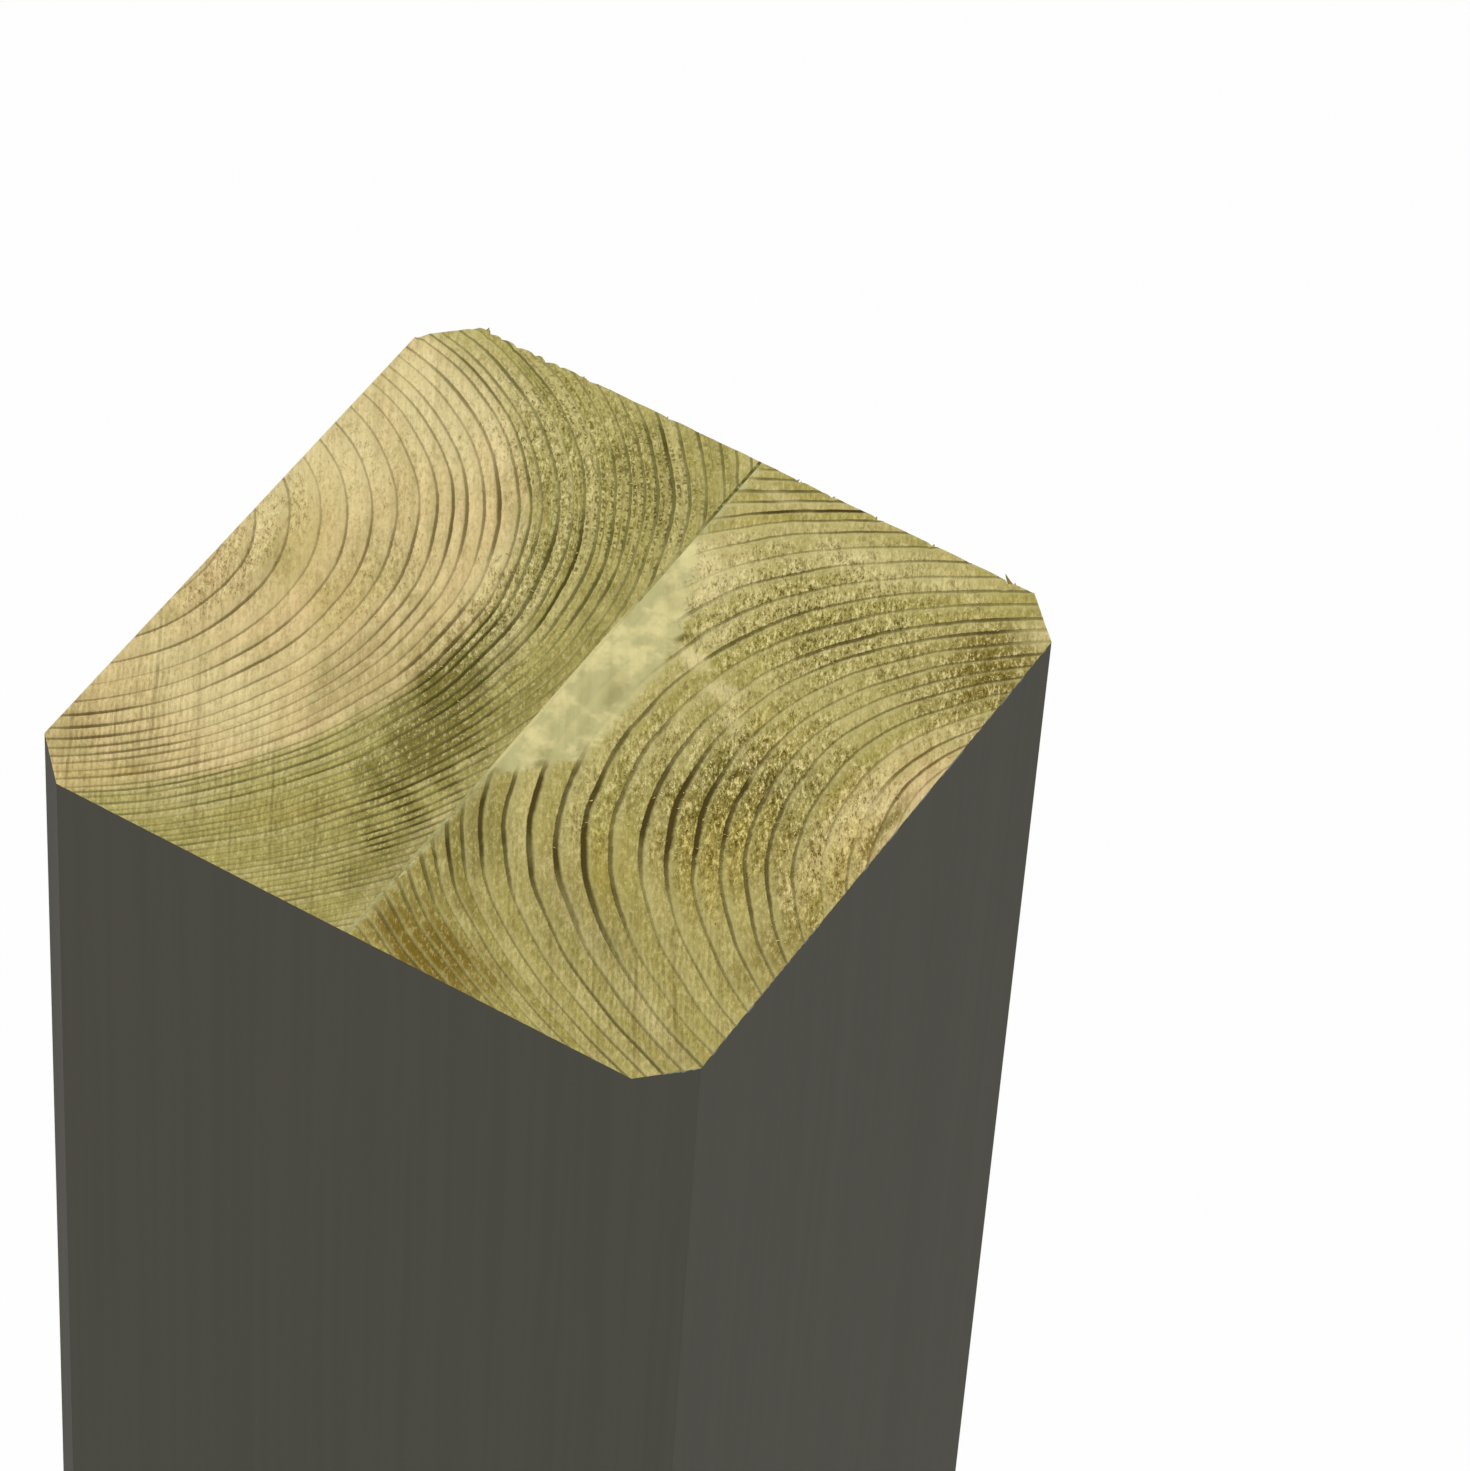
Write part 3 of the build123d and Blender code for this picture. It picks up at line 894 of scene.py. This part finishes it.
def chance(wire, low, high, seed):
    made = wire.node("FunctionNodeRandomValue", {"Min": low, "Max": high, "Seed": seed}, data_type="FLOAT")
    return next(socket for socket in made.outputs if socket.enabled)


lifted = wire.times(stored(wire, "end"), chance(wire, 0.05, 0.6, 1))
tilt = wire.math("SUBTRACT", math.pi / 2, lifted)
turn = wire.math("ADD", given["Heading"], wire.times(given["Spread"], chance(wire, -1.0, 1.0, 2)))
placed = wire.node("GeometryNodeInstanceOnPoints", {"Points": scattered.outputs["Points"],
                                                    "Instance": sliver.outputs[0],
                                                    "Rotation": wire.xyz(tilt, 0.0, turn)})
size = chance(wire, 0.5, 1.5, 3)
wire.feed(placed, "Scale", wire.xyz(size, size, size))
toned = wire.node("GeometryNodeStoreNamedAttribute", {"Geometry": placed.outputs[0], "Name": "fibre",
                                                      "Value": chance(wire, 0.25, 1.0, 4)},
                  data_type="FLOAT", domain="INSTANCE")
finish_tree(wire, end, toned.outputs[0], given["Material"])

fibre_finish, wire, shader, place = new_material("torn fibre ends")
tone = wire.blend(attribute(wire, "fibre"), srgb(138, 126, 60), srgb(240, 226, 156))
tone = wire.blend(wire.ramp(wire.noise(place, 2.0, 1.0), 0.4, 0.7, 0.0, 0.4), tone, srgb(120, 106, 48))
wire.feed(shader, "Base Color", tone)
wire.feed(shader, "Roughness", wire.linear(attribute(wire, "fibre"), 0.2, 0.5))
shader.inputs["Specular IOR Level"].default_value = 0.3

fibres = []
for board, heading in ((left_board, 0.55), (right_board, 0.5)):
    made = run_tree(board.name.replace("board", "torn_fibres"), board.data.copy(), fibre_tree,
                    {"Material": fibre_finish, "Heading": heading})
    fibres.append(made)
    print(made.name, len(made.data.polygons), "faces")

# %% [markdown]
# The saw leaves the wood at the back edge, where it also breaks off a few longer splinters. There are two
# that stand clear of the edge in the photograph, and some low tufts. They are few and each has its own
# place, so they are drawn one by one: a thin four-sided sliver, swept along a bend and drawn to a point.

# %% Splinters on the back edge
SPLINTERS = (                   # x in mm, length, width, heading and lift in degrees
    (-38.4, .8, .4, 80, 25), (-37.8, .7, .35, 118, 15), (-38.9, .5, .3, 40, 30), (36.5, 1.4, .5, 158, 38),
    (36.9, .7, .3, 120, 10), (6.2, .6, .36, 70, 12), (6.9, .5, .3, 110, 5), (11.3, .6, .34, 80, 10),
    (17.4, .6, .36, 100, 12), (18.1, .5, .3, 60, 5), (25.4, .6, .34, 95, 10), (-24.5, .6, .3, 70, 10),
    (-12.2, .6, .3, 100, 8), (30.5, .5, .3, 80, 6))
SPLINTER_STEPS = 5


def draw_splinters(name, places):
    corners, faces = [], []
    for x, length, width, heading, lift in places:
        flat_way = Vector((math.cos(math.radians(heading)), math.sin(math.radians(heading)), 0.0))
        sideways = Vector((-flat_way.y, flat_way.x, 0.0))
        first = len(corners)
        for step in range(SPLINTER_STEPS):
            share = step / (SPLINTER_STEPS - 1)
            rise = math.sin(math.radians(lift)) * share ** 2
            middle = Vector((x, half_side / MM - 0.4, post_length / MM - 0.22)) + flat_way * (length * share)
            middle.z += length * rise
            half = 0.5 * width * (1 - 0.85 * share ** 2)
            for side, up in ((-1, -0.5), (1, -0.5), (1, 0.5), (-1, 0.5)):
                corners.append((middle + sideways * (side * half) + Vector((0, 0, up * half))) * MM)
        for step in range(SPLINTER_STEPS - 1):
            ring = first + 4 * step
            faces += [(ring + k, ring + (k + 1) % 4, ring + 4 + (k + 1) % 4, ring + 4 + k) for k in range(4)]
        faces += [tuple(first + k for k in (3, 2, 1, 0)), tuple(len(corners) - 4 + k for k in range(4))]
    mesh = bpy.data.meshes.new(name)
    mesh.from_pydata(corners, [], faces)
    put(mesh, "fibre", np.zeros(len(corners)))
    mesh.materials.append(fibre_finish)
    made = bpy.data.objects.new(name, mesh)
    bpy.context.scene.collection.objects.link(made)
    print(name, len(places), "splinters,", len(faces), "faces")
    return made


splinters = [draw_splinters("left_splinters", [row for row in SPLINTERS if row[0] < 0]),
             draw_splinters("right_splinters", [row for row in SPLINTERS if row[0] > 0])]

# %% [markdown]
# A finish baked into one square picture, spread over 2.4 m of board, would leave a few pixels for the end
# grain. So each board brings its own map: the top end takes the largest share, the foot a quarter of that,
# and the long painted faces share the rest.

# %% Lay out the map for baking
SHEET = 1024.0                  # pixels along one side of the map
TOP_SCALE, FOOT_SCALE = 9.6, 4.8   # pixels for one millimetre
SIDE_LENGTH = 1000.0            # pixels for the length of the post
# First column of each strip and its pixels per millimetre: outer face, front, back, flats, glued face
STRIPS = {"outer": (680.0, 1.3), "front": (792.0, 1.28), "back": (852.0, 1.28), "front flat": (912.0, 1.6),
          "back flat": (932.0, 1.6), "glued": (952.0, 0.5)}
SIDES_LOW, SPARE_COLUMN = 8.0, 1000.0   # row where the strips start, and the column for what is left over
TOP_CORNER, FOOT_CORNER = (6.0, 12.0), (452.0, 12.0)


def lay_out(piece):
    mesh = piece.data
    layer = mesh.uv_layers.new(name="OFBake")
    count = len(mesh.loops)
    at = points_of(mesh) / MM
    corner_point = np.empty(count, int)
    mesh.loops.foreach_get("vertex_index", corner_point)
    spans = np.empty(len(mesh.polygons), int)
    mesh.polygons.foreach_get("loop_total", spans)
    normals = np.empty(3 * len(mesh.polygons))
    mesh.polygons.foreach_get("normal", normals)
    facing = np.repeat(normals.reshape(-1, 3), spans, axis=0)
    point = at[corner_point]
    hand = np.sign(np.median(at[:, 0]))
    x, y, z = hand * point[:, 0], point[:, 1], point[:, 2]
    half, shy = half_side / MM, 1.0           # the left board starts 0.8 mm beyond the middle
    u, v = np.zeros(count), np.zeros(count)

    def place(mask, left, low, across, along):
        u[mask], v[mask] = left + across[mask], low + along[mask]

    side = np.hypot(facing[:, 0], facing[:, 1]) > 0.5
    run = z / (post_length / MM) * SIDE_LENGTH
    outward = facing[:, 0] * hand
    kinds = {"outer": outward > 0.9, "glued": outward < -0.5, "front": facing[:, 1] < -0.9,
             "back": facing[:, 1] > 0.9, "front flat": (abs(outward - 0.707) < 0.2) & (facing[:, 1] < 0),
             "back flat": (abs(outward - 0.707) < 0.2) & (facing[:, 1] > 0)}
    left_over = side.copy()
    for name, (column, scale) in STRIPS.items():
        mask = side & left_over & kinds[name]
        left_over &= ~mask
        across = (y + half) * scale if name in ("outer", "glued") else (x + shy) * scale
        if "flat" in name:
            across = (x - (half - arris_leg / MM)) * math.sqrt(2) * scale
        place(mask, column, SIDES_LOW, across, run)
    place(left_over, SPARE_COLUMN, SIDES_LOW, (x + shy) * 0.2, run)
    top_face, foot_face = ~side & (facing[:, 2] > 0), ~side & (facing[:, 2] <= 0)
    place(top_face, *TOP_CORNER, (x + shy) * TOP_SCALE, (y + half) * TOP_SCALE)
    place(foot_face, *FOOT_CORNER, (x + shy) * FOOT_SCALE, (y + half) * FOOT_SCALE)
    layer.data.foreach_set("uv", np.column_stack([u, v]).ravel() / SHEET)
    print(piece.name, "map: top", round(np.ptp(x) * TOP_SCALE), "by", round(2 * half * TOP_SCALE), "pixels,",
          int(left_over.sum()), "corners left over")


for board in (left_board, right_board):
    lay_out(board)

# %% [markdown]
# Every piece hides the CAD node it stands for and is parented to the body it moves with. The post has one
# body. The fibres belong to the board they were torn from.

# %% Hand the pieces to the frame
for piece, node, slot in ((left_board, "left_lamination", "left_board"),
                          (right_board, "right_lamination", "right_board"),
                          (glue, "glue_line", "adhesive"),
                          (fibres[0], "left_lamination", "left_board"),
                          (fibres[1], "right_lamination", "right_board"),
                          (splinters[0], "left_lamination", "left_board"),
                          (splinters[1], "right_lamination", "right_board")):
    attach(piece, "root")
    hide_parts(node)
    print(piece.name, "stands for", node)

# %% [markdown]
# The floor is plain and white. To the camera and in reflections it is almost a lamp of its own, so it reads
# as the photograph's white ground, and it keeps a trace of the shadow. The world is white for the camera,
# and dimmer as a light, so that the pale end doesn't bleach.

# %% Floor and world
bpy.ops.mesh.primitive_plane_add(size=30.0, location=(0.0, 0.0, 0.0))
floor = bpy.context.object
floor.name = "floor"
paper = bpy.data.materials.new("white floor")
paper.use_nodes = True
paper.node_tree.nodes.clear()
wire = Wiring(paper.node_tree)
rays = wire.node("ShaderNodeLightPath").outputs
seen = wire.math("MAXIMUM", rays["Is Camera Ray"], rays["Is Glossy Ray"])
matt = wire.node("ShaderNodeBsdfDiffuse", {"Color": (0.86, 0.86, 0.85, 1.0)})
glow = wire.node("ShaderNodeEmission", {"Color": (1.0, 1.0, 1.0, 1.0), "Strength": 1.0})
mixed = wire.node("ShaderNodeMixShader", {0: wire.times(seen, 0.97), 1: matt.outputs[0],
                                          2: glow.outputs[0]})
wire.node("ShaderNodeOutputMaterial", {"Surface": mixed.outputs[0]})
floor.data.materials.append(paper)

world = bpy.data.worlds.new("studio")
bpy.context.scene.world = world
world.use_nodes = True
world.node_tree.nodes.clear()
wire = Wiring(world.node_tree)
rays = wire.node("ShaderNodeLightPath").outputs
seen = wire.math("MAXIMUM", rays["Is Camera Ray"], rays["Is Transmission Ray"])
strength = wire.between(seen, 0.62, 1.0)
sky = wire.node("ShaderNodeBackground", {"Color": (1.0, 1.0, 1.0, 1.0), "Strength": strength})
wire.node("ShaderNodeOutputWorld", {"Surface": sky.outputs[0]})
print("floor and world ready")

# %% [markdown]
# A soft lamp behind the post grazes the end and gives its relief small shadows. A larger one fills the
# front, and it stands to the right, because the right face is a little lighter than the left one.


# %% Lamps
def soft_lamp(name, place, target, size, power):
    data = bpy.data.lights.new(name, "AREA")
    data.shape, data.size, data.energy = "DISK", size, power
    lamp = bpy.data.objects.new(name, data)
    bpy.context.scene.collection.objects.link(lamp)
    lamp.location = place
    lamp.rotation_euler = (Vector(target) - Vector(place)).to_track_quat("-Z", "Y").to_euler()
    return lamp


top_centre = (0.0, 0.0, post_length)
soft_lamp("key", (-1.3, 1.2, post_length + 1.5), top_centre, 0.7, 30.0)
soft_lamp("fill", (1.35, -1.55, post_length + 2.1), top_centre, 1.4, 16.0)
print("two lamps")

# %% [markdown]
# The camera was worked out from the photograph: the eight corners of the end and the upright edges give
# its direction, its distance and its lens. It stands above and in front of the post's near corner, tipped
# a few degrees, and needs no shift.

# %% Camera
AZIMUTH, ELEVATION, ROLL = (math.radians(turn) for turn in (28.658, 48.133, 4.143))
CAMERA_FROM_TOP = Vector((0.315807, -0.532499, 0.684136))
LENS = 192.35                   # mm on a 36 mm sensor
back = Vector((math.sin(AZIMUTH) * math.cos(ELEVATION), -math.cos(AZIMUTH) * math.cos(ELEVATION),
               math.sin(ELEVATION)))
right = Vector((math.cos(AZIMUTH), math.sin(AZIMUTH), 0.0))
upright = back.cross(right)
tipped_right = math.cos(ROLL) * right + math.sin(ROLL) * upright
tipped_up = math.cos(ROLL) * upright - math.sin(ROLL) * right
camera_data = bpy.data.cameras.new("camera")
camera_data.lens, camera_data.sensor_width, camera_data.sensor_height = LENS, 36.0, 36.0
camera_data.clip_start, camera_data.clip_end = 0.05, 100.0
camera = bpy.data.objects.new("camera", camera_data)
bpy.context.scene.collection.objects.link(camera)
camera.matrix_world = Matrix.Translation(Vector(top_centre) + CAMERA_FROM_TOP) @ Matrix(
    (tipped_right, tipped_up, back)).transposed().to_4x4()
bpy.context.scene.camera = camera
bpy.context.scene.view_settings.view_transform = "Standard"
print("camera at", [round(value, 3) for value in camera.location])
